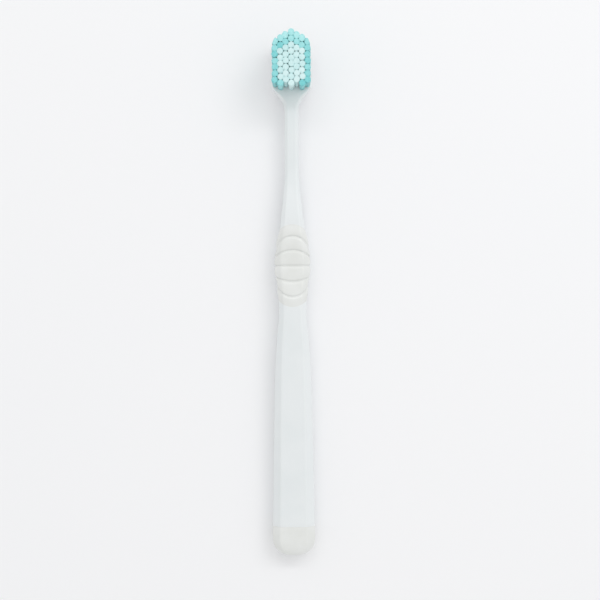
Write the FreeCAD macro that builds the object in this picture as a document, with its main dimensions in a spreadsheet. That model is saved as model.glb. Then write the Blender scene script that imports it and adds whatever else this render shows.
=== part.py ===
"""Manual toothbrush: a moulded handle, a soft thumb grip and end cap, and tufts stapled into the head.

The brush lies on its back. X runs across it, Y towards the head, and Z the way the bristles point.
The origin is on the flat back, under the middle of the thumb grip. Sizes are in millimetres and degrees.
"""

import FreeCAD, Part
import math
import os

import Sketcher
from FreeCAD import Placement, Rotation, Vector

# Driving dimensions: name in the sheet, value, meaning.
# A reach is a place along the brush, measured from the origin: towards the head, or towards the end cap.
SIZES = [
    ("tail_reach", 93.5, "origin to the face where the end cap meets the handle"),
    ("heel_reach", 76.0, "origin to the section at the heel of the hand"),
    ("shank_reach", 56.0, "origin to the section halfway along the handle"),
    ("flank_reach", 38.0, "origin to the section where the handle starts to narrow"),
    ("hip_reach", 26.5, "origin to the section where it narrows fastest"),
    ("waist_reach", 16.5, "origin to the narrow section below the thumb grip"),
    ("crest_reach", 2.0, "origin to the widest section of the thumb grip"),
    ("shoulder_reach", 17.0, "origin to the section above the thumb grip"),
    ("throat_reach", 36.0, "origin to the thinnest section of the neck"),
    ("tail_half_width", 7.45, "half width of the handle at the end cap"),
    ("heel_half_width", 7.2, "half width at the heel of the hand"),
    ("shank_half_width", 6.85, "half width halfway along the handle"),
    ("flank_half_width", 6.35, "half width where the handle starts to narrow"),
    ("hip_half_width", 5.7, "half width where it narrows fastest"),
    ("waist_half_width", 4.85, "half width below the thumb grip"),
    ("crest_half_width", 6.1, "half width of the hard handle inside the thumb grip"),
    ("shoulder_half_width", 3.95, "half width above the thumb grip"),
    ("neck_half_width", 2.45, "half width of the neck"),
    ("tail_front", 9.2, "height of the front face at the end cap"),
    ("heel_front", 9.4, "height of the front face at the heel of the hand"),
    ("shank_front", 9.6, "height of the front face halfway along the handle"),
    ("flank_front", 9.8, "height of the front face where the handle starts to narrow"),
    ("hip_front", 9.8, "height of the front face where it narrows fastest"),
    ("waist_front", 9.8, "height of the front face below the thumb grip"),
    ("crest_front", 8.6, "height of the hard handle inside the thumb grip"),
    ("shoulder_front", 9.7, "height of the front face above the thumb grip"),
    ("throat_front", 7.8, "height of the front face at the thinnest neck"),
    ("shoulder_back", 0.9, "height of the back above the thumb grip"),
    ("throat_back", 3.1, "height of the back at the thinnest neck"),
    ("rest_depth", 0.3, "how much of the rounded back is cut away to make the flat rest"),
    ("facet_share", 0.36, "width of the sloping front edges, as a share of the half width"),
    ("back_share", 0.4, "radius of the back edges, as a share of the half width"),
    ("cap_length", 10.5, "length of the end cap along the brush"),
    ("cap_proud", 0.15, "how far the soft end cap stands out from the handle"),
    ("cap_round", 5.8, "corner radius of the end cap seen from the front"),
    ("cap_roll", 2.6, "corner radius of the end cap seen from the side"),
    ("tongue_length", 5.2, "length of the tongue that holds the end cap"),
    ("tongue_half_width", 4.4, "half width of that tongue"),
    ("tongue_thickness", 4.4, "thickness of that tongue"),
    ("pad_half_length", 15.0, "half length of the thumb grip"),
    ("pad_end_round", 6.95, "radius of the rounded ends of the thumb grip"),
    ("pad_thickness", 1.3, "depth of the soft material below the handle's own surface"),
    ("pad_proud", 0.5, "how far the grip swells above the handle at its crest"),
    ("pad_lip", 0.1, "how far the grip stands out at its ends"),
    ("pad_wrap", 3.2, "height on the sides down to which the grip wraps"),
    ("groove_width", 0.8, "width of a grip groove"),
    ("groove_depth", 0.6, "depth of a grip groove"),
    ("upper_outer_groove_apex", 10.6, "origin to the middle of the groove nearest the head"),
    ("upper_outer_groove_radius", 5.8, "radius of the groove nearest the head"),
    ("upper_inner_groove_apex", 5.6, "origin to the middle of the next groove"),
    ("upper_inner_groove_radius", 9.0, "radius of that groove"),
    ("lower_inner_groove_apex", 5.6, "origin to the middle of the first groove towards the end cap"),
    ("lower_inner_groove_radius", 12.0, "radius of that groove"),
    ("lower_outer_groove_apex", 11.1, "origin to the middle of the groove nearest the end cap"),
    ("lower_outer_groove_radius", 5.8, "radius of the groove nearest the end cap"),
    ("field_reach", 63.7, "origin to the row of tufts nearest the neck"),
    ("head_front", 8.9, "height of the face that the tufts stand on"),
    ("head_thickness", 4.6, "thickness of the head"),
    ("head_margin", 0.6, "plastic between the outer holes and the edge of the head"),
    ("head_corner", 3.0, "radius where the flare meets the sides of the head"),
    ("head_tip_round", 5.5, "radius of the corners at the tip of the head"),
    ("head_front_edge", 0.4, "radius of the head's front edge"),
    ("head_back_edge", 1.5, "radius of the head's back edge"),
    ("flare_length", 5.4, "length over which the neck widens into the head"),
    ("neck_inset", 0.15, "how far the neck's faces lie inside those of the head"),
    ("neck_overlap", 3.0, "how far the neck runs on inside the head"),
    ("tuft_pitch", 2.2, "distance between neighbouring tufts"),
    ("hole_radius", 0.78, "radius of a tuft hole"),
    ("hole_depth", 3.4, "depth of a tuft hole"),
    ("tuft_clearance", 0.02, "room between a tuft and its hole at the mouth"),
    ("tip_spread", 0.28, "how much wider a tuft is at its tip than at the mouth"),
    ("bristle_length", 10.8, "length of the bristles above the head"),
    ("toe_lean", 1.5, "lean of the last tuft of each column towards the tip of the head"),
    ("anchor_bite", 0.18, "how far each end of an anchor cuts into the wall of its hole"),
    ("anchor_thickness", 0.25, "thickness of an anchor plate"),
    ("anchor_height", 1.3, "height of an anchor plate"),
    ("fold_height", 0.5, "room under an anchor for the folded bristles"),
]

COLUMN_TUFTS = (9, 8, 8, 7)  # tufts in the middle column and in each one further out
OUTER_COLUMN = len(COLUMN_TUFTS) - 1
COLUMN_LETTERS = "abcdefg"
CAP_TURN = (0, 18, 36, 54, 72, 90)  # degrees of turn at the sections that round the end cap
CLEAR = 30.0            # a length that takes a cutting tool well past the brush
LOFT_DEGREE = 2         # higher degrees swing out between the cross-sections

doc = FreeCAD.newDocument("toothbrush")


def make_sheet():
    """The sheet that holds the driving dimensions."""
    sheet = doc.addObject("Spreadsheet::Sheet", "Sizes")
    for row, (alias, value, meaning) in enumerate(SIZES, start=1):
        sheet.set(f"A{row}", meaning)
        sheet.set(f"B{row}", str(value))
        sheet.setAlias(f"B{row}", alias)
    doc.recompute()
    return sheet


SHEET = make_sheet()


def size(expression):
    """The number that an expression over the sheet has now."""
    result = SHEET.evalExpression(expression)
    return float(getattr(result, "Value", result))


def bind(thing, **expressions):
    """Ties properties to expressions. A double underscore in a name stands for a dot."""
    for name, expression in expressions.items():
        thing.setExpression(name.replace("__", "."), expression)


def add(kind, label, **links):
    """A document object with a label and plain properties."""
    thing = doc.addObject(kind, label)
    thing.Label = label
    for name, value in links.items():
        setattr(thing, name, value)
    return thing


def dimension(sketch, kind, elements, expression, name):
    """Adds a driving constraint and ties it to an expression."""
    index = sketch.addConstraint(Sketcher.Constraint(kind, *elements, size(expression)))
    sketch.renameConstraint(index, name)
    sketch.setExpression(f"Constraints.{name}", expression)


def join_ends(sketch, count):
    """Closes a loop of edges: each edge ends where the next one starts."""
    for edge in range(count):
        sketch.addConstraint(Sketcher.Constraint("Coincident", edge, 2, (edge + 1) % count, 1))


def body_sketch(body, name, plane_role):
    """A sketch on one of a body's own origin planes."""
    plane = next(f for f in body.Origin.OriginFeatures if f.Role == plane_role)
    sketch = body.newObject("Sketcher::SketchObject", name)
    sketch.AttachmentSupport = (plane, "")
    sketch.MapMode = "FlatFace"
    return sketch


def line(start, end):
    return Part.LineSegment(Vector(*start, 0), Vector(*end, 0))


def arc(centre, radius, start_angle, end_angle):
    circle = Part.Circle(Vector(*centre, 0), Vector(0, 0, 1), radius)
    return Part.ArcOfCircle(circle, math.radians(start_angle), math.radians(end_angle))


def handle_section(name, along, half_width, front, back):
    """A cross-section of the handle: flat front with sloping edges, upright sides, rounded back edges.

    The place along the brush, the half width and the heights of front and back are expressions.
    """
    sketch = add("Sketcher::SketchObject", name)
    sketch.Placement = Placement(Vector(), Rotation(Vector(1, 0, 0), 90))
    bind(sketch, Placement__Base__y=along, Placement__Base__z=f"(({front}) + ({back})) / 2")
    rise = f"(({front}) - ({back})) / 2"
    facet = f"Sizes.facet_share * ({half_width})"
    edge_round = f"Sizes.back_share * ({half_width})"
    a, h, f, r = size(half_width), size(rise), size(facet), size(edge_round)
    sketch.addGeometry([
        line((a - f, h), (f - a, h)),
        line((f - a, h), (-a, h - f)),
        line((-a, h - f), (-a, r - h)),
        arc((r - a, r - h), r, 180, 270),
        line((r - a, -h), (a - r, -h)),
        arc((a - r, r - h), r, 270, 360),
        line((a, r - h), (a, h - f)),
        line((a, h - f), (a - f, h)),
    ])
    join_ends(sketch, 8)
    for right, left in (((0, 1), (0, 2)), ((7, 1), (1, 2)), ((6, 1), (2, 2)), ((4, 2), (4, 1))):
        sketch.addConstraint(Sketcher.Constraint("Symmetric", *right, *left, -2))
    sketch.addConstraint(Sketcher.Constraint("Equal", 3, 5))
    origin = (-1, 1)
    dimension(sketch, "DistanceX", (*origin, 0, 1), f"({half_width}) - {facet}", "front_half_width")
    dimension(sketch, "DistanceY", (*origin, 0, 1), rise, "front_height")
    dimension(sketch, "DistanceX", (*origin, 7, 1), half_width, "half_width")
    dimension(sketch, "DistanceY", (*origin, 7, 1), f"{rise} - {facet}", "side_top")
    dimension(sketch, "DistanceX", (*origin, 6, 1), half_width, "lower_half_width")
    dimension(sketch, "DistanceY", (6, 1, *origin), f"{rise} - {edge_round}", "side_bottom")
    dimension(sketch, "DistanceX", (*origin, 4, 2), f"({half_width}) - {edge_round}", "back_half_width")
    dimension(sketch, "DistanceY", (4, 2, *origin), rise, "back_height")
    dimension(sketch, "Radius", (5,), edge_round, "back_edge")
    return sketch


def loft(label, stations):
    """A smooth solid through cross-sections, each given by its name, its place and its sizes."""
    sections = [handle_section(f"{label}_{name}", *sizes) for name, *sizes in stations]
    return add("Part::Loft", label, Sections=sections, Solid=True, MaxDegree=LOFT_DEGREE)


REST = "-Sizes.rest_depth"
HEAD_BACK = "(Sizes.head_front - Sizes.head_thickness)"
FLARE_START = "(Sizes.field_reach - Sizes.flare_length)"
COLUMN_PITCH = "(Sizes.tuft_pitch * cos(30 deg))"
HEAD_HALF_WIDTH = f"({OUTER_COLUMN} * {COLUMN_PITCH} + Sizes.hole_radius + Sizes.head_margin)"
LAST_HOLE = f"({COLUMN_TUFTS[0] - 1} * Sizes.tuft_pitch + Sizes.hole_depth * sin(Sizes.toe_lean * 1 deg))"
HEAD_TIP = f"(Sizes.field_reach + {LAST_HOLE} + Sizes.hole_radius + Sizes.head_margin)"

# Cross-sections shared by the handle and its grip: name, place along the brush, half width, front, back.
HIP = ("hip", "-Sizes.hip_reach", "Sizes.hip_half_width", "Sizes.hip_front", REST)
WAIST = ("waist", "-Sizes.waist_reach", "Sizes.waist_half_width", "Sizes.waist_front", REST)
CREST = ("crest", "Sizes.crest_reach", "Sizes.crest_half_width", "Sizes.crest_front", REST)
SHOULDER = ("shoulder", "Sizes.shoulder_reach", "Sizes.shoulder_half_width", "Sizes.shoulder_front",
            "Sizes.shoulder_back")
THROAT = ("throat", "Sizes.throat_reach", "Sizes.neck_half_width", "Sizes.throat_front",
          "Sizes.throat_back")


def head_plate():
    """The head: a plate that flares out of the neck, runs along the bristles and has a rounded tip."""
    body = add("PartDesign::Body", "head_plate")
    sketch = body_sketch(body, "head_outline", "XY_Plane")
    bind(sketch, AttachmentOffset__Base__y=FLARE_START, AttachmentOffset__Base__z=HEAD_BACK)
    neck, half = size("Sizes.neck_half_width"), size(HEAD_HALF_WIDTH)
    flare, tip = size("Sizes.flare_length"), size(f"{HEAD_TIP} - {FLARE_START}")
    sketch.addGeometry([
        line((-neck, 0), (neck, 0)),
        line((neck, 0), (half, flare)),
        line((half, flare), (half, tip)),
        line((half, tip), (-half, tip)),
        line((-half, tip), (-half, flare)),
        line((-half, flare), (-neck, 0)),
    ])
    join_ends(sketch, 6)
    for right, left in (((0, 2), (0, 1)), ((1, 2), (4, 2)), ((2, 2), (3, 2))):
        sketch.addConstraint(Sketcher.Constraint("Symmetric", *right, *left, -2))
    sketch.addConstraint(Sketcher.Constraint("PointOnObject", 0, 2, -1))
    sketch.addConstraint(Sketcher.Constraint("Vertical", 2))
    dimension(sketch, "DistanceX", (-1, 1, 0, 2), "Sizes.neck_half_width", "neck_half_width")
    dimension(sketch, "DistanceX", (-1, 1, 1, 2), HEAD_HALF_WIDTH, "half_width")
    dimension(sketch, "DistanceY", (-1, 1, 1, 2), "Sizes.flare_length", "flare_length")
    dimension(sketch, "DistanceY", (-1, 1, 2, 2), f"{HEAD_TIP} - {FLARE_START}", "tip")
    pad = body.newObject("PartDesign::Pad", "head_slab")
    pad.Profile = sketch
    bind(pad, Length="Sizes.head_thickness")
    doc.recompute()
    start = size(FLARE_START)

    def upright_at(place):
        return lambda edge: edge.BoundBox.ZLength > 1 and abs(edge.BoundBox.YMin - size(place)) < 0.01

    def on_face(height):
        return lambda edge: edge.BoundBox.ZLength < 0.01 and (
            abs(edge.BoundBox.ZMin - size(height)) < 0.01 and edge.BoundBox.YMax > start + 0.01)

    round_edges(body, "head_corners", "Sizes.head_corner", upright_at("Sizes.field_reach"))
    round_edges(body, "head_tip_corners", "Sizes.head_tip_round", upright_at(HEAD_TIP))
    round_edges(body, "head_back_edge", "Sizes.head_back_edge", on_face(HEAD_BACK))
    round_edges(body, "head_front_edge", "Sizes.head_front_edge", on_face("Sizes.head_front"))
    return body


def round_edges(body, name, radius, chosen):
    """Rounds the edges of the body's latest feature that a test picks."""
    base = body.Tip
    names = [f"Edge{n}" for n, edge in enumerate(base.Shape.Edges, start=1) if chosen(edge)]
    fillet = body.newObject("PartDesign::Fillet", name)
    fillet.Base = (base, names)
    bind(fillet, Radius=radius)
    doc.recompute()
    return fillet


def handle_blank():
    """The whole hard moulding before its holes and recess: tongue, handle, neck and head."""
    neck_front = "(Sizes.head_front - Sizes.neck_inset)"
    neck_back = f"({HEAD_BACK} + Sizes.neck_inset)"
    shaft = loft("shaft", [
        ("tail", "-Sizes.tail_reach", "Sizes.tail_half_width", "Sizes.tail_front", REST),
        ("heel", "-Sizes.heel_reach", "Sizes.heel_half_width", "Sizes.heel_front", REST),
        ("shank", "-Sizes.shank_reach", "Sizes.shank_half_width", "Sizes.shank_front", REST),
        ("flank", "-Sizes.flank_reach", "Sizes.flank_half_width", "Sizes.flank_front", REST),
        HIP, WAIST, CREST, SHOULDER, THROAT,
        ("collar", f"{FLARE_START} + Sizes.neck_overlap", "Sizes.neck_half_width", neck_front, neck_back),
    ])
    return add("Part::MultiFuse", "handle_blank", Shapes=[shaft, head_plate(), tongue("tongue")])


def tongue(label):
    """The tongue on the tail that the soft end cap is moulded over."""
    block = add("Part::Box", label)
    bind(block, Length="2 * Sizes.tongue_half_width", Width="Sizes.tongue_length",
         Height="Sizes.tongue_thickness", Placement__Base__x="-Sizes.tongue_half_width",
         Placement__Base__y="-Sizes.tail_reach - Sizes.tongue_length",
         Placement__Base__z="(Sizes.tail_front - Sizes.tongue_thickness) / 2")
    return block


def rectangle(sketch, half_width, half_height):
    """Fills a sketch with a rectangle centred on its origin."""
    a, b = size(half_width), size(half_height)
    sketch.addGeometry([
        line((-a, -b), (a, -b)),
        line((a, -b), (a, b)),
        line((a, b), (-a, b)),
        line((-a, b), (-a, -b)),
    ])
    join_ends(sketch, 4)
    for edge, direction in enumerate(("Horizontal", "Vertical", "Horizontal", "Vertical")):
        sketch.addConstraint(Sketcher.Constraint(direction, edge))
    sketch.addConstraint(Sketcher.Constraint("Symmetric", 0, 1, 2, 1, -1, 1))
    dimension(sketch, "DistanceX", (-1, 1, 2, 1), half_width, "half_width")
    dimension(sketch, "DistanceY", (-1, 1, 2, 1), half_height, "half_height")
    return sketch


def below_rest():
    """Everything under the flat that the brush lies on."""
    block = add("Part::Box", "below_rest", Length=2 * CLEAR, Height=CLEAR)
    bind(block, Width=f"Sizes.tail_reach + Sizes.cap_length + {CLEAR} + Sizes.throat_reach",
         Placement__Base__x=str(-CLEAR), Placement__Base__z=str(-CLEAR),
         Placement__Base__y=f"-Sizes.tail_reach - Sizes.cap_length - {CLEAR}")
    return block


def end_cap(rest):
    """The soft cap: a sleeve that carries the tail's section on, a round end, and a socket for the tongue."""
    proud = "Sizes.cap_proud"
    end = "(Sizes.tail_reach + Sizes.cap_length)"
    half, front, back = f"Sizes.tail_half_width + {proud}", f"Sizes.tail_front + {proud}", f"{REST} - {proud}"
    stations = []
    for turn in CAP_TURN:
        narrowing = f"Sizes.cap_round * (1 - cos({turn} deg))"
        rolling = f"Sizes.cap_roll * (1 - cos({turn} deg))"
        along = f"-({end} - Sizes.cap_round * (1 - sin({turn} deg)))"
        stations.append((f"turn_{turn}", along, f"{half} - {narrowing}",
                         f"{front} - {rolling}", f"{back} + {rolling}"))
    sleeve = loft("cap_sleeve", [("joint", "-Sizes.tail_reach", half, front, back), stations[0]])
    blank = add("Part::MultiFuse", "cap_blank", Shapes=[sleeve, loft("cap_round_end", stations)])
    flat = add("Part::Cut", "cap_on_rest", Base=blank, Tool=rest)
    return add("Part::Cut", "end_cap", Base=flat, Tool=tongue("socket"))


def grip_loft(label, lip, crest):
    """The handle's shape around the thumb grip, swollen or shrunk by amounts at its ends and its crest."""
    stations = []
    for station, growth in ((HIP, lip), (WAIST, lip), (CREST, crest), (SHOULDER, lip), (THROAT, lip)):
        name, along, half_width, front, back = station
        stations.append((name, along, f"{half_width} + {growth}", f"{front} + {growth}", back))
    return loft(label, stations)


def raised(label, sketch):
    """A sketch drawn out upwards into a tall solid."""
    return add("Part::Extrusion", label, Base=sketch, DirMode="Custom", Dir=Vector(0, 0, 1),
               LengthFwd=CLEAR, Solid=True)


def pad_outline():
    """The outline of the thumb grip seen from the front: straight sides past the handle, and round ends."""
    sketch = add("Sketcher::SketchObject", "pad_outline")
    bind(sketch, Placement__Base__z="Sizes.pad_wrap")
    radius = size("Sizes.pad_end_round")
    straight = "(Sizes.pad_half_length - Sizes.pad_end_round)"
    s = size(straight)
    sketch.addGeometry([
        line((radius, -s), (radius, s)),
        arc((0, s), radius, 0, 180),
        line((-radius, s), (-radius, -s)),
        arc((0, -s), radius, 180, 360),
    ])
    join_ends(sketch, 4)
    for edge in (0, 2):
        sketch.addConstraint(Sketcher.Constraint("Vertical", edge))
    sketch.addConstraint(Sketcher.Constraint("Symmetric", 0, 1, 2, 1, -1, 1))
    dimension(sketch, "DistanceX", (-1, 1, 0, 2), "Sizes.pad_end_round", "half_width")
    dimension(sketch, "DistanceY", (-1, 1, 0, 2), straight, "straight_half")
    for edge in (1, 3):
        sketch.addConstraint(Sketcher.Constraint("Horizontal", edge, 3, edge, 1))
        sketch.addConstraint(Sketcher.Constraint("Horizontal", edge, 3, edge, 2))
    return sketch


def curved_groove(label, apex, radius, towards_head):
    """The wall that cuts a curved groove: half a ring whose middle lies at the apex and bows outwards."""
    sketch = add("Sketcher::SketchObject", f"{label}_outline")
    side = 1 if towards_head else -1
    sketch.Placement = Placement(Vector(), Rotation(Vector(0, 0, 1), 0 if towards_head else 180))
    bind(sketch, Placement__Base__y=f"{side} * {apex}", Placement__Base__z="Sizes.pad_wrap")
    inner, outer = f"{radius} - Sizes.groove_width / 2", f"{radius} + Sizes.groove_width / 2"
    middle, near, far = size(radius), size(inner), size(outer)
    sketch.addGeometry([
        arc((0, -middle), far, 0, 180),
        line((-far, -middle), (-near, -middle)),
        arc((0, -middle), near, 0, 180),
        line((near, -middle), (far, -middle)),
    ])
    for first, second in (((0, 2), (1, 1)), ((1, 2), (2, 2)), ((2, 1), (3, 1)), ((3, 2), (0, 1))):
        sketch.addConstraint(Sketcher.Constraint("Coincident", *first, *second))
    sketch.addConstraint(Sketcher.Constraint("Coincident", 0, 3, 2, 3))
    sketch.addConstraint(Sketcher.Constraint("PointOnObject", 0, 3, -2))
    for edge in (1, 3):
        sketch.addConstraint(Sketcher.Constraint("Horizontal", edge))
        sketch.addConstraint(Sketcher.Constraint("Horizontal", 0, 3, edge, 1))
    dimension(sketch, "DistanceY", (0, 3, -1, 1), radius, "radius")
    dimension(sketch, "Radius", (0,), outer, "outer_wall")
    dimension(sketch, "Radius", (2,), inner, "inner_wall")
    return raised(label, sketch)


def straight_groove(label):
    """The wall that cuts the straight groove across the middle of the grip."""
    sketch = add("Sketcher::SketchObject", f"{label}_outline")
    bind(sketch, Placement__Base__z="Sizes.pad_wrap")
    rectangle(sketch, "Sizes.pad_end_round + Sizes.groove_width", "Sizes.groove_width / 2")
    return raised(label, sketch)


def thumb_grip(outline):
    """The soft grip: the swollen handle inside the outline, hollow for the handle, with five grooves.

    Returns the grip and the space that it takes out of the handle.
    """
    outside = grip_loft("grip_outside", "Sizes.pad_lip", "Sizes.pad_proud")
    inside = grip_loft("grip_inside", "-Sizes.pad_thickness", "-Sizes.pad_thickness")
    floor = grip_loft("groove_floor", "(Sizes.pad_lip - Sizes.groove_depth)",
                      "(Sizes.pad_proud - Sizes.groove_depth)")
    recess = add("Part::Cut", "grip_recess", Base=outline, Tool=inside)
    walls = [straight_groove("middle_groove")]
    for towards_head, place in ((True, "upper"), (False, "lower")):
        for name in (f"{place}_inner_groove", f"{place}_outer_groove"):
            walls.append(curved_groove(name, f"Sizes.{name}_apex", f"Sizes.{name}_radius", towards_head))
    swollen = add("Part::Common", "swollen_grip", Base=outside, Tool=recess)
    groove_walls = add("Part::MultiFuse", "groove_walls", Shapes=walls)
    grooves = add("Part::Cut", "grooves", Base=groove_walls, Tool=floor)
    return add("Part::Cut", "thumb_grip", Base=swollen, Tool=grooves), recess


def lattice():
    """Every tuft's label, column, place in units of the pitch, and whether it is the last of its column.

    Every other column starts half a pitch further from the neck.
    """
    for column in range(-OUTER_COLUMN, OUTER_COLUMN + 1):
        count = COLUMN_TUFTS[abs(column)]
        for number in range(count):
            label = f"tuft_{COLUMN_LETTERS[column + OUTER_COLUMN]}{number + 1}"
            yield label, column, number + column % 2 / 2, number == count - 1


def tuft(label, column, place, last):
    """One tuft with the hole and the anchor that hold it. They share the tuft's place and lean."""
    mouth = "Sizes.hole_radius - Sizes.tuft_clearance"
    bundle = add("Part::Cone", f"{label}_bundle")
    bind(bundle, Radius1=f"{mouth} - Sizes.tip_spread * Sizes.hole_depth / Sizes.bristle_length",
         Radius2=f"{mouth} + Sizes.tip_spread", Height="Sizes.hole_depth + Sizes.bristle_length")
    if last:
        bundle.Placement = Placement(Vector(), Rotation(Vector(-1, 0, 0), size("Sizes.toe_lean")))
        bind(bundle, Placement__Rotation__Angle="Sizes.toe_lean")
    bind(bundle, Placement__Base__x=f"{column} * {COLUMN_PITCH}",
         Placement__Base__y=f"Sizes.field_reach + {place} * Sizes.tuft_pitch",
         Placement__Base__z="Sizes.head_front - Sizes.hole_depth")
    hole = add("Part::Cylinder", f"{label}_hole")
    bind(hole, Radius="Sizes.hole_radius", Height="Sizes.hole_depth + Sizes.bristle_length")
    anchor = add("Part::Box", f"{label}_anchor")
    length = "2 * (Sizes.hole_radius + Sizes.anchor_bite)"
    bind(anchor, Length=length, Width="Sizes.anchor_thickness", Height="Sizes.anchor_height",
         AttachmentOffset__Base__x=f"-({length}) / 2",
         AttachmentOffset__Base__y="-Sizes.anchor_thickness / 2",
         AttachmentOffset__Base__z="Sizes.fold_height")
    for held in (hole, anchor):
        held.AttachmentSupport = (bundle, "")
        held.MapMode = "ObjectXY"
    return add("Part::Cut", label, Base=bundle, Tool=anchor), hole, anchor


def build():
    """Makes every piece and returns those that are handed on, in order."""
    blank = handle_blank()
    rest = below_rest()
    grip, recess = thumb_grip(raised("grip_column", pad_outline()))
    tufts, holes, anchors = zip(*(tuft(*entry) for entry in lattice()))
    pinned = add("Part::Compound", "tuft_anchors", Links=list(anchors))
    drilled = add("Part::Compound", "tuft_holes", Links=list(holes))
    flat = add("Part::Cut", "handle_on_rest", Base=blank, Tool=rest)
    recessed = add("Part::Cut", "handle_with_recess", Base=flat, Tool=recess)
    bored = add("Part::Cut", "handle_with_holes", Base=recessed, Tool=drilled)
    core = add("Part::Cut", "handle_core", Base=bored, Tool=pinned)
    return [core, grip, end_cap(rest), pinned, *tufts]


def check(pieces):
    """Stops if any object failed or any piece isn't sound."""
    failed = [o.Label for o in doc.Objects if {"Invalid", "Error"} & set(o.State)]
    if failed:
        raise RuntimeError(f"these objects failed: {failed}")
    for piece in pieces:
        shape = piece.Shape
        if shape.isNull() or not shape.isValid() or not shape.Solids:
            raise RuntimeError(f"{piece.Label} has no sound shape")


def write(pieces):
    """Writes each piece to its own file and prints what it measures."""
    os.makedirs("parts", exist_ok=True)
    for piece in pieces:
        piece.Shape.exportStep(f"parts/{piece.Label}.step")
    for piece in pieces[:4]:
        box = piece.Shape.BoundBox
        print(f"{piece.Label}: {len(piece.Shape.Solids)} solids, {piece.Shape.Volume:.1f} mm3, "
              f"x {box.XMin:.2f} {box.XMax:.2f}, y {box.YMin:.2f} {box.YMax:.2f}, "
              f"z {box.ZMin:.2f} {box.ZMax:.2f}")
    print(f"{len(pieces)} pieces")


made = build()
doc.recompute()
check(made)
write(made)
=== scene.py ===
"""Manual toothbrush: the moulded handle, its soft thumb grip and end cap, and the bristle tufts.

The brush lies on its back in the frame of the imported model: X across, Y towards the head, Z the way the
bristles point, with the origin on the flat back under the middle of the thumb grip. Sizes in the classes are
millimetres and degrees, as in the part's own source, and turn into metres where a mesh is made.
"""

import logging
import math
from collections.abc import Iterator
from dataclasses import dataclass, field
from enum import Enum

import bmesh
import bpy
import numpy as np
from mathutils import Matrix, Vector


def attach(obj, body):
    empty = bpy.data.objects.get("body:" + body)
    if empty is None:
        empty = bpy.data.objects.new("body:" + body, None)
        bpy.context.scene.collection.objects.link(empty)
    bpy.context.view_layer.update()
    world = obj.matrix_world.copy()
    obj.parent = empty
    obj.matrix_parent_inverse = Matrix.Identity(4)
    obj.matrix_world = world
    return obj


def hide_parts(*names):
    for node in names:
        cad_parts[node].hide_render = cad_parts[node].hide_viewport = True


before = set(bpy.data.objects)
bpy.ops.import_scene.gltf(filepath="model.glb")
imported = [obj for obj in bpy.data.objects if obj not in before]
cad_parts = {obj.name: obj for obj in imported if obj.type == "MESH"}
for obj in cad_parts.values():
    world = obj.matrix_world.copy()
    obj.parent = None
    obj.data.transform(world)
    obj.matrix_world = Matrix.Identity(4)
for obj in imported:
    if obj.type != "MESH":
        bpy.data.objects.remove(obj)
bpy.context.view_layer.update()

LOG = logging.getLogger("toothbrush")
MM = 0.001
ROOT = "root"
CREASE = 50.0           # degrees between faces that are shaded with an edge
WELD = 0.001            # millimetres within which points fall together
SHORTEST = 1e-6         # millimetres, so that nothing is divided by a span that has no length
GOLDEN_ANGLE = math.pi * (3 - math.sqrt(5))
Array = np.ndarray
Material = bpy.types.Material
Node = bpy.types.Node
Piece = bpy.types.Object
Tree = bpy.types.NodeTree
Sizes = tuple[float, ...]
Span = tuple[float, float]
Triple = tuple[float, float, float]
Tones = tuple[tuple[float, str], ...]


class BristleColour(Enum):
    """The two colours of filament, each with a short name."""

    TURQUOISE = "turquoise_bristle"
    WHITE = "white_bristle"


def linear(colour: str) -> tuple[float, float, float, float]:
    """Turns an sRGB hex colour into the linear colour that shaders take.

    By the sRGB standard, values near black follow a straight line and lighter ones a power of 2.4.

    Args:
        colour: Six hex digits after a hash sign.

    Returns:
        Red, green, blue and an alpha of one.
    """
    srgb = np.array([int(colour[i:i + 2], 16) for i in (1, 3, 5)]) / 255
    low, high = srgb / 12.92, ((srgb + 0.055) / 1.055) ** 2.4
    return (*np.where(srgb <= 0.04045, low, high).tolist(), 1.0)


def start_material(name: str) -> tuple[Material, Tree, Node]:
    """Starts a material.

    Args:
        name: What it is made of.

    Returns:
        The material, its node tree and the tree's main shader.
    """
    material = bpy.data.materials.new(name)
    material.use_nodes = True
    return material, material.node_tree, material.node_tree.nodes["Principled BSDF"]


def add_node(tree: Tree, kind: str, values: dict | None = None, links: dict | None = None,
             stops: Tones = (), **settings: object) -> Node:
    """Adds a shader node.

    Args:
        tree: The material's node tree.
        kind: The node's type name.
        values: Values for its input sockets, by name or number.
        links: Output sockets to join to its input sockets, by name or number.
        stops: The places and hex colours of a colour ramp.
        settings: Properties of the node itself.

    Returns:
        The new node.
    """
    node = tree.nodes.new(kind)
    for name, value in settings.items():
        setattr(node, name, value)
    for number, (position, colour) in enumerate(stops):
        node.color_ramp.elements[number].position = position
        node.color_ramp.elements[number].color = linear(colour)
    for socket, value in (values or {}).items():
        node.inputs[socket].default_value = value
    for socket, source in (links or {}).items():
        tree.links.new(source, node.inputs[socket])
    return node


def per_metre(size_mm: float) -> float:
    """The texture scale that gives features of a real size, on coordinates in metres."""
    return 1 / (size_mm * MM)


def smooth_step(value: Array) -> Array:
    """Rises from 0 to 1 as the value does, level at both ends: 3v² - 2v³."""
    v = np.clip(value, 0, 1)
    return v * v * (3 - 2 * v)


def smooth_max(first: Array, second: Array, blend: float) -> Array:
    """The larger of two arrays, with the corner between them rounded over a blend width."""
    share = np.clip(0.5 + (first - second) / (2 * blend), 0, 1)
    return second + (first - second) * share + blend * share * (1 - share)


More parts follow.
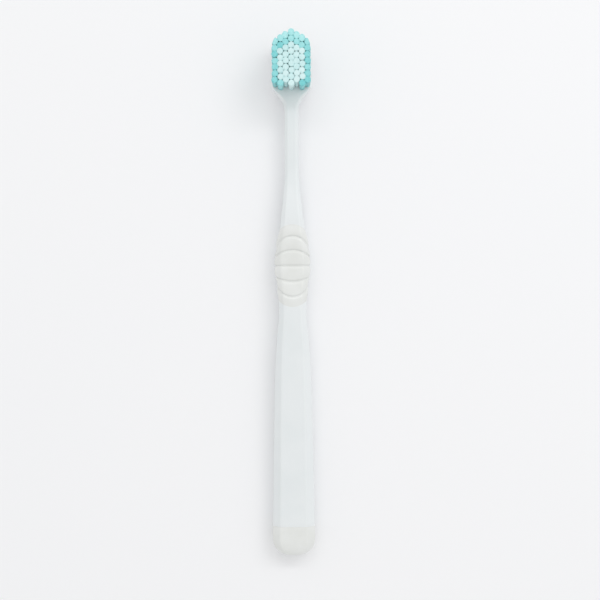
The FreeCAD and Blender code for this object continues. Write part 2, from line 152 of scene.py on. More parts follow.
def through(places: Sizes, values: Sizes, at: Array) -> Array:
    """A smooth curve through stations that doesn't swing past them.

    A cubic runs between neighbours. Its slope at a station is the harmonic mean of the slopes on both sides,
    or zero where those differ in sign.

    Args:
        places: Where the stations are, in rising order.
        values: The curve's value at each station.
        at: Where the curve is wanted.

    Returns:
        The curve's values there.
    """
    x, y = np.array(places), np.array(values)
    step = np.diff(x)
    rise = np.diff(y) / step
    product = rise[:-1] * rise[1:]
    total = np.where(rise[:-1] + rise[1:] == 0, 1, rise[:-1] + rise[1:])
    slope = np.concatenate([rise[:1], np.where(product > 0, 2 * product / total, 0), rise[-1:]])
    k = np.clip(np.searchsorted(x, at) - 1, 0, len(step) - 1)
    t = (at - x[k]) / step[k]
    return ((1 + 2 * t) * (1 - t) ** 2 * y[k] + t * (1 - t) ** 2 * step[k] * slope[k]
            + t * t * (3 - 2 * t) * y[k + 1] + t * t * (t - 1) * step[k] * slope[k + 1])


def circle(sides: int) -> Array:
    """Points round a circle of radius one: the cosines and sines of even turns."""
    around = np.arange(sides) * 2 * math.pi / sides
    return np.stack([np.cos(around), np.sin(around)], -1)


def grid_faces(rows: int, columns: int, closed: bool) -> Array:
    """Quads of a grid of points stored row by row.

    Args:
        rows: Number of rows.
        columns: Number of points in a row.
        closed: Whether each row's last point joins its first.

    Returns:
        One line of four point numbers per quad.
    """
    row = np.arange(rows - 1)[:, None] * columns
    column = np.arange(columns if closed else columns - 1)[None, :]
    after = (column + 1) % columns
    corners = [row + column, row + after, row + columns + after, row + columns + column]
    return np.stack(corners, -1).reshape(-1, 4)


def tube(rings: Array, ends: Array) -> tuple[Array, Array, Array]:
    """Puts a skin over rings of points and closes it with a fan at each end.

    Args:
        rings: Closed rings, one after the other.
        ends: Where the fans of the first and the last ring meet.

    Returns:
        Points, quads and triangles.
    """
    count = rings.shape[1]
    column = np.arange(count)
    after = np.roll(column, -1)
    last, end = (len(rings) - 1) * count, len(rings) * count
    fans = np.concatenate([np.stack([after, column, np.full(count, end)], -1),
                           np.stack([last + column, last + after, np.full(count, end + 1)], -1)])
    return np.concatenate([rings.reshape(-1, 3), ends]), grid_faces(len(rings), count, True), fans


def mirrored(x: Array, y: Array, z: Array) -> Array:
    """Closes right halves of outlines with their mirror images.

    Args:
        x: Places across the brush, a row for each outline.
        y: Each row's place along the brush.
        z: Heights, as x.

    Returns:
        Rows of closed outlines.
    """
    right = np.stack([x, np.broadcast_to(y[:, None], x.shape), z], -1)
    return np.concatenate([right, right[:, -2:0:-1] * [-1, 1, 1]], 1)


def add_piece(name: str, points: Array, quads: Array, triangles: Array | None = None,
              crease: float | None = None, weld: bool = False) -> Piece:
    """Makes a smooth-shaded mesh object at the origin.

    Args:
        name: The object's name.
        points: Places in millimetres, one line each.
        quads: Faces of four points.
        triangles: Faces of three points, if there are any.
        crease: The angle between faces, in degrees, beyond which an edge is shaded sharp, if any is.
        weld: Whether points that fall together become one.

    Returns:
        The object, in the scene.
    """
    if triangles is None:
        triangles = np.empty((0, 3), int)
    mesh = bpy.data.meshes.new(name)
    mesh.vertices.add(len(points))
    mesh.vertices.foreach_set("co", (np.asarray(points, np.float32) * MM).ravel())
    corners = np.concatenate([quads.ravel(), triangles.ravel()]).astype(np.int32)
    sizes = np.concatenate([np.full(len(quads), 4), np.full(len(triangles), 3)]).astype(np.int32)
    mesh.loops.add(len(corners))
    mesh.loops.foreach_set("vertex_index", corners)
    mesh.polygons.add(len(sizes))
    mesh.polygons.foreach_set("loop_start", np.concatenate([[0], np.cumsum(sizes)[:-1]]).astype(np.int32))
    mesh.polygons.foreach_set("use_smooth", np.ones(len(sizes), bool))
    mesh.update(calc_edges=True)
    mesh.validate()
    if weld:
        shell = bmesh.new()
        shell.from_mesh(mesh)
        bmesh.ops.remove_doubles(shell, verts=shell.verts, dist=WELD * MM)
        shell.to_mesh(mesh)
        shell.free()
    if crease is not None:
        mesh.set_sharp_from_angle(angle=math.radians(crease))
    piece = bpy.data.objects.new(name, mesh)
    bpy.context.scene.collection.objects.link(piece)
    return piece


def put_on(piece: Piece, material: Material, slot: str, *nodes: str) -> None:
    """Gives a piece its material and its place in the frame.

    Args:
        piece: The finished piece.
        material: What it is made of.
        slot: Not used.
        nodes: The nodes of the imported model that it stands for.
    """
    piece.data.materials.append(material)
    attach(piece, ROOT)
    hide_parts(*nodes)
    LOG.info("%s: %d faces, for %s", piece.name, len(piece.data.polygons), ", ".join(nodes))


@dataclass(frozen=True)
class MouldedPolypropylene:
    """Injection-moulded polypropylene from a polished mould: a cool white with a soft, slightly waxy gloss.

    The surface is even, so only slow shifts in tone and gloss and a faint flow ripple break it up.
    """

    name: str = "moulded polypropylene"
    tones: Tones = ((0.3, "#E5EAEB"), (0.6, "#E9EDEE"))
    flow_mm: float = 14.0
    flow_detail: float = 3.0
    ripple_mm: float = 1.6
    ripple_detail: float = 2.0
    ripple_height_mm: float = 0.004
    ripple_strength: float = 0.5
    gloss: Span = (0.27, 0.36)
    refraction: float = 1.49
    glow_weight: float = 0.12
    glow_spread: Triple = (1.0, 1.0, 1.0)
    glow_depth_mm: float = 0.8

    def build(self) -> Material:
        """Makes the material.

        Returns:
            The material.
        """
        material, tree, shader = start_material(self.name)
        place = add_node(tree, "ShaderNodeTexCoord").outputs["Object"]
        flow = add_node(tree, "ShaderNodeTexNoise",
                        {"Scale": per_metre(self.flow_mm), "Detail": self.flow_detail}, {"Vector": place})
        tone = add_node(tree, "ShaderNodeValToRGB", links={"Fac": flow.outputs["Fac"]}, stops=self.tones)
        gloss = add_node(tree, "ShaderNodeMapRange", {"To Min": self.gloss[0], "To Max": self.gloss[1]},
                         {"Value": flow.outputs["Fac"]})
        ripple = add_node(tree, "ShaderNodeTexNoise",
                          {"Scale": per_metre(self.ripple_mm), "Detail": self.ripple_detail},
                          {"Vector": place})
        bump = add_node(tree, "ShaderNodeBump",
                        {"Strength": self.ripple_strength, "Distance": self.ripple_height_mm * MM},
                        {"Height": ripple.outputs["Fac"]})
        shader.inputs["IOR"].default_value = self.refraction
        shader.inputs["Subsurface Weight"].default_value = self.glow_weight
        shader.inputs["Subsurface Radius"].default_value = self.glow_spread
        shader.inputs["Subsurface Scale"].default_value = self.glow_depth_mm * MM
        tree.links.new(tone.outputs["Color"], shader.inputs["Base Color"])
        tree.links.new(gloss.outputs["Result"], shader.inputs["Roughness"])
        tree.links.new(bump.outputs["Normal"], shader.inputs["Normal"])
        return material


@dataclass(frozen=True)
class GripElastomer:
    """Thermoplastic elastomer from a spark-eroded mould: a warmer white, satin, with a fine even grain.

    The grain of the real mould is about 0.1 mm. It is drawn at 0.35 mm, because finer grain doesn't show.
    """

    name: str = "grip elastomer"
    tones: Tones = ((0.35, "#E3E5E2"), (0.65, "#E8EAE8"))
    cloud_mm: float = 6.0
    cloud_detail: float = 4.0
    grain_mm: float = 0.35
    grain_detail: float = 3.0
    grain_roughness: float = 0.6
    grain_height_mm: float = 0.003
    grain_strength: float = 0.6
    gloss: Span = (0.2, 0.27)
    sheen: float = 0.1
    refraction: float = 1.5

    def build(self) -> Material:
        """Makes the material.

        Returns:
            The material.
        """
        material, tree, shader = start_material(self.name)
        place = add_node(tree, "ShaderNodeTexCoord").outputs["Object"]
        cloud = add_node(tree, "ShaderNodeTexNoise",
                         {"Scale": per_metre(self.cloud_mm), "Detail": self.cloud_detail}, {"Vector": place})
        tone = add_node(tree, "ShaderNodeValToRGB", links={"Fac": cloud.outputs["Fac"]}, stops=self.tones)
        grain = add_node(tree, "ShaderNodeTexNoise",
                         {"Scale": per_metre(self.grain_mm), "Detail": self.grain_detail,
                          "Roughness": self.grain_roughness}, {"Vector": place})
        gloss = add_node(tree, "ShaderNodeMapRange", {"To Min": self.gloss[0], "To Max": self.gloss[1]},
                         {"Value": grain.outputs["Fac"]})
        bump = add_node(tree, "ShaderNodeBump",
                        {"Strength": self.grain_strength, "Distance": self.grain_height_mm * MM},
                        {"Height": grain.outputs["Fac"]})
        shader.inputs["IOR"].default_value = self.refraction
        shader.inputs["Sheen Weight"].default_value = self.sheen
        tree.links.new(tone.outputs["Color"], shader.inputs["Base Color"])
        tree.links.new(gloss.outputs["Result"], shader.inputs["Roughness"])
        tree.links.new(bump.outputs["Normal"], shader.inputs["Normal"])
        return material


@dataclass(frozen=True)
class DrawnFilament:
    """Extruded and drawn polyester filament with a rounded tip, painted darker and deeper in colour towards
    its foot: painted shade for the shadow deep between the tufts.

    Each filament is drawn part of the way towards a paler colour, by an amount that partly differs at random
    and partly is painted highlight speckle on the tuft tops, and the paler ones are a little less glossy.
    """

    name: str
    tones: Tones
    pale_colour: str
    gloss: Span = (0.28, 0.42)
    refraction: float = 1.57

    # A node that mixes has sockets of the same names for numbers and for colours, so these go by number.
    MIX_SHARE = 0
    MIX_FIRST_COLOUR = 6
    MIX_SECOND_COLOUR = 7
    MIX_RESULT_COLOUR = 2

    def build(self) -> Material:
        """Makes the material.

        Returns:
            The material.
        """
        material, tree, shader = start_material(self.name)
        along = add_node(tree, "ShaderNodeAttribute", attribute_name="along")
        tint = add_node(tree, "ShaderNodeAttribute", attribute_name="tint")
        # painted shade: the ramp darkens the filament from tip to foot, where the tufts shade each other
        depth = add_node(tree, "ShaderNodeValToRGB", links={"Fac": along.outputs["Fac"]}, stops=self.tones)
        mixed = add_node(tree, "ShaderNodeMix", {self.MIX_SECOND_COLOUR: linear(self.pale_colour)},
                         {self.MIX_SHARE: tint.outputs["Fac"], self.MIX_FIRST_COLOUR: depth.outputs["Color"]},
                         data_type="RGBA")
        gloss = add_node(tree, "ShaderNodeMapRange", {"To Min": self.gloss[0], "To Max": self.gloss[1]},
                         {"Value": tint.outputs["Fac"]})
        shader.inputs["IOR"].default_value = self.refraction
        tree.links.new(mixed.outputs[self.MIX_RESULT_COLOUR], shader.inputs["Base Color"])
        tree.links.new(gloss.outputs["Result"], shader.inputs["Roughness"])
        return material


@dataclass(frozen=True)
class AnchorWire:
    """Flattened brass wire, cut and punched into the holes: bare metal with fine drawing lines.

    The lines of real wire lie about 0.02 mm apart. They are drawn at 0.12 mm, because finer ones don't show.
    """

    name: str = "anchor brass wire"
    tones: Tones = ((0.0, "#A8925E"), (1.0, "#C9B37A"))
    line_mm: float = 0.12
    line_detail: float = 2.0
    line_height_mm: float = 0.004
    line_strength: float = 0.5
    gloss: Span = (0.28, 0.42)
    metal: float = 1.0

    def build(self) -> Material:
        """Makes the material.

        Returns:
            The material.
        """
        material, tree, shader = start_material(self.name)
        place = add_node(tree, "ShaderNodeTexCoord").outputs["Object"]
        lines = add_node(tree, "ShaderNodeTexNoise",
                         {"Scale": per_metre(self.line_mm), "Detail": self.line_detail}, {"Vector": place})
        tone = add_node(tree, "ShaderNodeValToRGB", links={"Fac": lines.outputs["Fac"]}, stops=self.tones)
        gloss = add_node(tree, "ShaderNodeMapRange", {"To Min": self.gloss[0], "To Max": self.gloss[1]},
                         {"Value": lines.outputs["Fac"]})
        bump = add_node(tree, "ShaderNodeBump",
                        {"Strength": self.line_strength, "Distance": self.line_height_mm * MM},
                        {"Height": lines.outputs["Fac"]})
        shader.inputs["Metallic"].default_value = self.metal
        tree.links.new(tone.outputs["Color"], shader.inputs["Base Color"])
        tree.links.new(gloss.outputs["Result"], shader.inputs["Roughness"])
        tree.links.new(bump.outputs["Normal"], shader.inputs["Normal"])
        return material


@dataclass(frozen=True)
class Section:
    """A cross-section with a flat front, sloping front edges, upright sides and round back edges.

    Every size is an array with one value per row of a grid. Half of the outline runs from the middle of the
    front over the right side to the middle of the back, in seven spans: front, front corner, slope, side
    corner, side, back corner and back. Corners are circular arcs, and the slope lies at 45 degrees.
    """

    half_width: Array
    front: Array
    back: Array
    facet: Array
    corner: Array
    back_round: Array

    SPANS = 7
    BACK_CORNER = 5
    TURN = math.tan(math.pi / 8)

    def lengths(self) -> Array:
        """The lengths of the seven spans: arcs for the corners, and what they leave of each straight side.

        Returns:
            A line of seven lengths for each row.
        """
        a, f, r, b = self.half_width, self.facet, self.corner, self.back_round
        tall = self.front - self.back
        cut = r * self.TURN
        return np.stack([a - f - cut, r * math.pi / 4, f * math.sqrt(2) - 2 * cut, r * math.pi / 4,
                         tall - f - cut - b, b * math.pi / 2, a - b], -1)

    def walk(self, span: Array, share: Array) -> tuple[Array, Array, Array, Array]:
        """Finds points on the right half of the outline.

        Args:
            span: The number of the span, for each row and column.
            share: How far along that span, from 0 to 1.

        Returns:
            X and Z of the points, then X and Z of the outward direction there.
        """
        a, f, r, b = (v[:, None] for v in (self.half_width, self.facet, self.corner, self.back_round))
        top, low = self.front[:, None], self.back[:, None]
        cut = r * self.TURN
        diagonal = math.sqrt(0.5)
        turn = [np.full_like(share, 90.0), 90 - 45 * share, np.full_like(share, 45.0), 45 - 45 * share,
                np.zeros_like(share), -90 * share, np.full_like(share, -90.0)]
        angle = np.radians(np.choose(span, turn))
        nx, nz = np.cos(angle), np.sin(angle)
        first = (a - f - cut, top - r)
        second = (a - r, top - f - cut)
        third = (a - b, low + b)
        from_x, from_z = first[0] + r * diagonal, first[1] + r * diagonal
        to_x, to_z = second[0] + r * diagonal, second[1] + r * diagonal
        x = [share * first[0], first[0] + r * nx, from_x + share * (to_x - from_x), second[0] + r * nx,
             a + 0 * share, third[0] + b * nx, (1 - share) * third[0]]
        z = [top + 0 * share, first[1] + r * nz, from_z + share * (to_z - from_z), second[1] + r * nz,
             second[1] + share * (third[1] - second[1]), third[1] + b * nz, low + 0 * share]
        return np.choose(span, x), np.choose(span, z), nx, nz

    def at_length(self, length: Array) -> tuple[Array, Array, Array, Array]:
        """Finds points on the right half of the outline by their distance from the middle of the front.

        Args:
            length: The distances, for each row and column.

        Returns:
            As walk does.
        """
        spans = self.lengths()
        ends = np.cumsum(spans, -1)
        span = np.minimum((length[:, :, None] >= ends[:, None, :]).sum(-1), self.SPANS - 1)
        size = np.take_along_axis(spans, span, 1)
        start = np.take_along_axis(ends, span, 1) - size
        return self.walk(span, np.clip((length - start) / np.maximum(size, SHORTEST), 0, 1))


@dataclass
class BristleField:
    """The tufts: a hexagonal field, level at the heel and arched at the tip, in two colours."""

    first_row: float = 63.7
    pitch: float = 2.2
    counts: tuple[int, ...] = (9, 8, 8, 7)      # tufts per column, from the middle one out
    letters: str = "abcdefg"
    plate_height: float = 8.9
    hole_depth: float = 3.4
    hole_radius: float = 0.78
    sunk: float = 0.4
    length: float = 10.8
    toe_lean: float = 1.5
    foot_radius: float = 0.94
    tip_radius: float = 1.22
    crown: float = 0.03
    filaments: int = 130
    outward: float = 0.4        # a power: 0.5 spreads the filaments evenly, less crowds the edge
    filament_radius: float = 0.09
    sides: int = 5
    uneven: float = 0.1         # how far the shortest filament falls short
    stray: float = 0.05         # how far a filament wanders sideways
    sway: float = 0.06          # how far a whole tuft does
    bow: float = 0.8            # the power of the height by which a tuft opens out
    middle_share: float = 0.9   # of the tuft's radius
    middle_drop: float = 0.08
    middle_dome: float = 0.1
    middle_sides: int = 24
    middle_levels: Sizes = (0.0, 0.35, 0.7)
    dome_rings: int = 4
    # A filament's rings: their shares of its height, and of its radius.
    levels: Sizes = (0.0, 0.0, 0.35, 0.7, 1.0, 1.0)
    girths: Sizes = (0.05, 1.0, 1.0, 1.0, 1.0, 0.68)
    tip_lift: float = 0.7
    arch_place: float = 75.0
    arch_half_width: float = 6.95
    arch_height: float = 7.6
    # how far each tuft, and each filament in it, is drawn towards the pale colour: partly random tone, partly
    # painted highlight speckle
    tint_range: Span = (0.15, 0.6)
    tint_spread: float = 0.25
    # painted highlight on the toe tufts: how much paler they are painted, where that starts and over what
    # length it grows
    painted_toe_highlight: float = 0.55
    toe_highlight_from: float = 76.5
    toe_highlight_over: float = 3.0
    seed: int = 11

    @property
    def outer_column(self) -> int:
        """How many columns lie on each side of the middle one."""
        return len(self.counts) - 1

    @property
    def column_pitch(self) -> float:
        """The distance between columns of a hexagonal field."""
        return self.pitch * math.cos(math.pi / 6)

    @property
    def last_row(self) -> float:
        """Where the last hole of the middle column meets the face of the head."""
        return (self.first_row + (self.counts[0] - 1) * self.pitch
                + self.hole_depth * math.sin(math.radians(self.toe_lean)))

    def tufts(self) -> Iterator[tuple[str, Array, float, BristleColour]]:
        """Every tuft. Every other column starts half a pitch further from the neck.

        Yields:
            The node's name, the place of its root, its lean in degrees, and its colour.
        """
        outer = self.outer_column
        for column in range(-outer, outer + 1):
            count = self.counts[abs(column)]
            for number in range(count):
                root = np.array([column * self.column_pitch,
                                 self.first_row + (number + column % 2 / 2) * self.pitch,
                                 self.plate_height - self.hole_depth])
                side, toe = abs(column) == outer, number >= count - 2
                heel = number == 0 and abs(column) == outer - 1
                colour = BristleColour.TURQUOISE if side or toe or heel else BristleColour.WHITE
                lean = self.toe_lean if number == count - 1 else 0
                yield f"tuft_{self.letters[column + outer]}{number + 1}", root, lean, colour

    def spread(self, share: Array) -> Array:
        """A tuft's radius at shares of its height, which widens from foot to tip by a power of the share."""
        return self.foot_radius + (self.tip_radius - self.foot_radius) * share ** self.bow

    def strands(self, random: np.random.Generator) -> tuple[Array, Array, Array, Array]:
        """The separate filaments of one tuft, standing on the root with the tuft upright.

        The feet fill a disc as seeds fill a sunflower: radius by a root of the number, angle by the golden
        angle, a little closer together near the edge. Each filament bows out from its foot to a wider place
        at the tip, and ends in a dome.

        Args:
            random: Where the irregularities come from.

        Returns:
            Points, quads, triangles, and each point's share of the height.
        """
        count, sides = self.filaments, self.sides
        order = np.arange(count)
        radius = ((order + 0.5) / count) ** self.outward
        angle = order * GOLDEN_ANGLE + random.uniform(0, 2 * math.pi)
        disc = np.stack([radius * np.cos(angle), radius * np.sin(angle)], -1)
        foot = disc * (self.foot_radius - self.filament_radius)
        tip = disc * (self.tip_radius - self.filament_radius) + random.normal(0, self.stray, (count, 2))
        beyond = np.hypot(*tip.T) / (self.tip_radius - self.filament_radius)
        tip = tip / np.maximum(beyond, 1)[:, None]
        height = self.length + self.sunk - random.uniform(0, self.uneven, count) - self.crown * radius ** 2
        share = np.array(self.levels)
        girth = np.array(self.girths) * self.filament_radius
        lift = np.zeros(len(share))
        lift[-1] = self.tip_lift * self.filament_radius
        curl = random.normal(0, self.stray, (count, 1, 2)) * np.sin(math.pi * share)[None, :, None]
        middle = foot[:, None, :] + (tip - foot)[:, None, :] * share[None, :, None] ** self.bow + curl
        flat = middle[:, :, None, :] + girth[None, :, None, None] * circle(sides)[None, None, :, :]
        level = (height - self.filament_radius)[:, None] * share[None, :] + lift[None, :]
        level = np.broadcast_to(level[:, :, None, None], (*flat.shape[:3], 1))
        ring_points = np.concatenate([flat, level], -1).reshape(count, -1, 3)
        ends = np.concatenate([middle[:, -1, :], height[:, None]], -1)
        points = np.concatenate([ring_points, ends[:, None, :]], 1)
        per = points.shape[1]
        first = order[:, None, None] * per
        quads = (first + grid_faces(len(share), sides, True)[None]).reshape(-1, 4)
        rim = per - 1 - sides + np.arange(sides)
        dome = np.stack([rim, np.roll(rim, -1), np.full(sides, per - 1)], -1)
        closing = np.stack([np.zeros(sides - 2, int), np.arange(2, sides), np.arange(1, sides - 1)], -1)
        triangles = (first + np.concatenate([dome, closing])[None]).reshape(-1, 3)
        heights = np.tile(np.append(np.repeat(share, sides), 1.0), count)
        return points.reshape(-1, 3), quads, triangles, heights

    def middle(self) -> tuple[Array, Array, Array, Array]:
        """The closely packed middle of one tuft, which shows between the outer filaments.

        A column whose radius follows the filaments, with a rounded top just below their tips.

        Returns:
            As strands does.
        """
        turn = np.linspace(0, math.pi / 2, self.dome_rings + 2)[1:-1]
        tall = self.length + self.sunk
        top = (tall - self.middle_drop) / tall
        dome = self.middle_dome / tall
        share = np.concatenate([[*self.middle_levels, top - dome], top - dome * (1 - np.sin(turn))])
        inward = np.concatenate([np.ones(len(self.middle_levels) + 1), np.cos(turn)])
        radius = self.spread(share) * self.middle_share * inward
        flat = radius[:, None, None] * circle(self.middle_sides)[None]
        level = np.broadcast_to(share[:, None, None] * tall, (*flat.shape[:2], 1))
        ends = np.array([[0, 0, 0], [0, 0, top * tall]])
        heights = np.append(np.repeat(share, self.middle_sides), [0.0, top])
        return *tube(np.concatenate([flat, level], -1), ends), heights

    def bundle(self, name: str, root: Array, lean: float, number: int) -> Piece:
        """Makes one tuft of filaments round a packed middle.

        A tuft that leans opens like a fan: its filaments nearest the tip of the head lean, and those nearest
        the neck stand upright. Every tuft sways a little, and those near the tip of the head are painted
        paler:
        a painted highlight for the light that the leaning toe tufts catch.

        Args:
            name: The tuft's node.
            root: The bottom of its hole.
            lean: How far it leans towards the tip of the head.
            number: The tuft's number, which seeds its irregularities.

        Returns:
            The piece.
        """
        random = np.random.default_rng(self.seed + number)
        strands, middle = self.strands(random), self.middle()
        points = np.concatenate([strands[0], middle[0]]) + [0, 0, self.hole_depth - self.sunk]
        heights = np.concatenate([strands[3], middle[3]])
        fan = (1 + np.clip(points[:, 1] / self.spread(heights), -1, 1)) / 2
        points[:, 1] += points[:, 2] * math.tan(math.radians(lean)) * fan
        points[:, :2] += random.normal(0, self.sway, 2) * heights[:, None] ** self.bow
        points = self.gathered(points + root, heights)
        shift = len(strands[0])
        quads, triangles = (np.concatenate([strands[part], middle[part] + shift]) for part in (1, 2))
        piece = add_piece(f"bristles_{name.removeprefix('tuft_')}", points, quads, triangles)
        # painted highlight: tufts towards the toe are drawn further towards the pale colour
        toe = np.clip((root[1] - self.toe_highlight_from) / self.toe_highlight_over, 0, 1)
        own = random.uniform(*self.tint_range) + self.painted_toe_highlight * toe
        # partly random tone, partly painted highlight speckle on the tips
        tint = np.clip(random.normal(own, self.tint_spread, self.filaments), 0, 1)
        tint = np.append(np.repeat(tint, shift // self.filaments), np.full(len(middle[0]), own))
        self.mark(piece, "along", heights)
        self.mark(piece, "tint", tint)
        return piece

    def gathered(self, points: Array, heights: Array) -> Array:
        """Draws in the filaments that would stand outside the field's outline.

        At the tips the outline has straight sides and ends in half an ellipse. A point beyond it moves
        towards the ellipse's middle until it lies on the outline, and by less the nearer it is to its foot.

        Args:
            points: Points of a tuft.
            heights: Each point's share of the height.

        Returns:
            The points, drawn in.
        """
        off = points[:, :2] - [0, self.arch_place]
        beyond = np.hypot(off[:, 0] / self.arch_half_width, np.maximum(off[:, 1], 0) / self.arch_height)
        pull = (1 - 1 / np.maximum(beyond, 1)) * heights ** self.bow
        drawn = points.copy()
        drawn[:, 0] -= off[:, 0] * pull
        drawn[:, 1] -= np.maximum(off[:, 1], 0) * pull
        return drawn

    @staticmethod
    def mark(piece: Piece, name: str, values: Array) -> None:
        """Stores one number per point of a piece for its material to read."""
        attribute = piece.data.attributes.new(name, "FLOAT", "POINT")
        attribute.data.foreach_set("value", values.astype(np.float32))

    def build(self, finishes: dict[BristleColour, Material]) -> None:
        """Makes every tuft and puts it on.

        Args:
            finishes: The material of each colour of filament.
        """
        for number, (name, root, lean, colour) in enumerate(self.tufts()):
            put_on(self.bundle(name, root, lean, number), finishes[colour], colour.value, name)


@dataclass
class HandleForm:
    """The shape of the hard moulding along the brush: handle, neck and head as one smooth skin."""

    reach: Sizes = (-93.5, -76.0, -56.0, -38.0, -26.5, -16.5, 2.0, 17.0, 36.0, 61.3)
    half_width: Sizes = (7.45, 7.2, 6.85, 6.35, 5.7, 4.85, 6.1, 3.95, 2.45, 2.45)
    front: Sizes = (9.2, 9.4, 9.6, 9.8, 9.8, 9.8, 8.6, 9.7, 7.8, 8.75)
    back_reach: Sizes = (-93.5, 6.0, 17.0, 36.0, 61.3)
    back: Sizes = (0.0, 0.0, 0.9, 3.1, 4.45)
    facet_share: float = 0.36
    back_share: float = 0.4
    corner: float = 0.7
    flare_length: float = 5.4
    head_front: float = 8.9
    head_thickness: float = 4.6
    head_margin: float = 0.6
    head_facet: float = 0.34
    head_front_round: float = 0.4
    head_back_round: float = 1.5
    tip_round: float = 5.5
    neck_blend: float = 2.4
    flare_blend: float = 0.6
    head_lead: float = 1.5
    facet_limit: float = 0.3
    back_limit: float = 0.8
    corner_limit: float = 0.9
    bristles: BristleField = field(default_factory=BristleField)

    @property
    def head_half_width(self) -> float:
        """Half the width of the head: its outer holes and the plastic outside them."""
        b = self.bristles
        return b.outer_column * b.column_pitch + b.hole_radius + self.head_margin

    @property
    def flare_start(self) -> float:
        """Where the neck starts to widen into the head, which is at full width at the first row of tufts."""
        return self.bristles.first_row - self.flare_length

    @property
    def tip(self) -> float:
        """Where the head ends."""
        return self.bristles.last_row + self.bristles.hole_radius + self.head_margin

    def sections(self, y: Array) -> Section:
        """Cross-sections at places along the brush.

        The neck's width and a straight flare are joined by a rounded corner, and so are the flare and the
        head. The corners of the tip are quarter circles, and its edges are rounded in side view too.

        Args:
            y: The places.

        Returns:
            The sections there.
        """
        wide, start = self.head_half_width, self.flare_start
        neck = through(self.reach, self.half_width, np.minimum(y, self.reach[-1]))
        flare = neck + (y - start) * (wide - neck) / self.flare_length
        flared = smooth_max(neck, flare, self.neck_blend)
        head = -smooth_max(-flared, np.full_like(y, -wide), self.flare_blend)
        past = np.clip(y - self.tip + self.tip_round, 0, self.tip_round)
        head = np.minimum(head, wide - self.tip_round + np.sqrt(self.tip_round ** 2 - past ** 2))
        half = np.where(y > self.reach[-2], head, neck)
        on_head = smooth_step((y - start + self.head_lead) / (self.flare_length + self.head_lead))
        front = through(self.reach, self.front, np.minimum(y, self.reach[-1]))
        back = through(self.back_reach, self.back, np.minimum(y, self.back_reach[-1]))
        front = front + (self.head_front - front) * on_head
        back = back + (self.head_front - self.head_thickness - back) * on_head
        front = front - self.roll(y, self.head_front_round)
        back = back + self.roll(y, self.head_back_round)
        facet = half * self.facet_share
        facet = facet + (np.minimum(self.head_facet, half * self.facet_limit) - facet) * on_head
        back_round = half * self.back_share
        on_back = np.minimum(self.head_back_round, half * self.back_limit)
        back_round = back_round + (on_back - back_round) * on_head
        corner = np.minimum(self.corner, facet * self.corner_limit)
        return Section(half, front, back, facet, corner, back_round)

    def roll(self, y: Array, radius: float) -> Array:
        """How far an edge of that radius has dropped away near the tip of the head: a quarter circle."""
        share = np.clip((y - self.tip + radius) / radius, 0, 1)
        return radius * (1 - np.sqrt(np.maximum(1 - share ** 2, 0)))


@dataclass
class GripPlace:
    """Where the thumb grip lies on the handle: round ends, and sides wrapped down to a set height."""

    half_length: float = 15.0
    end_round: float = 6.95
    wrap: float = 3.2

    def inside(self, x: Array, y: Array, z: Array) -> Array:
        """How far inside the grip's edge a point of the handle's skin lies, in millimetres.

        Seen from the front the ends are half circles, so the distance along the brush to the edge is scaled
        by the edge's slope. On the sides the distance to the wrap counts where it is smaller.

        Args:
            x: Places across the brush.
            y: Places along it.
            z: Heights.

        Returns:
            The distances, which are negative outside the edge.
        """
        bow = np.sqrt(np.maximum(self.end_round ** 2 - x ** 2, 0))
        limit = self.half_length - self.end_round + bow
        return np.minimum((limit - np.abs(y)) * bow / self.end_round, z - self.wrap)

    def edge(self, y: Array) -> Array:
        """Half the grip's width at places along the brush, seen from the front: a half circle at each end."""
        past = np.maximum(np.abs(y) - (self.half_length - self.end_round), 0)
        return np.sqrt(np.maximum(self.end_round ** 2 - past ** 2, 0))


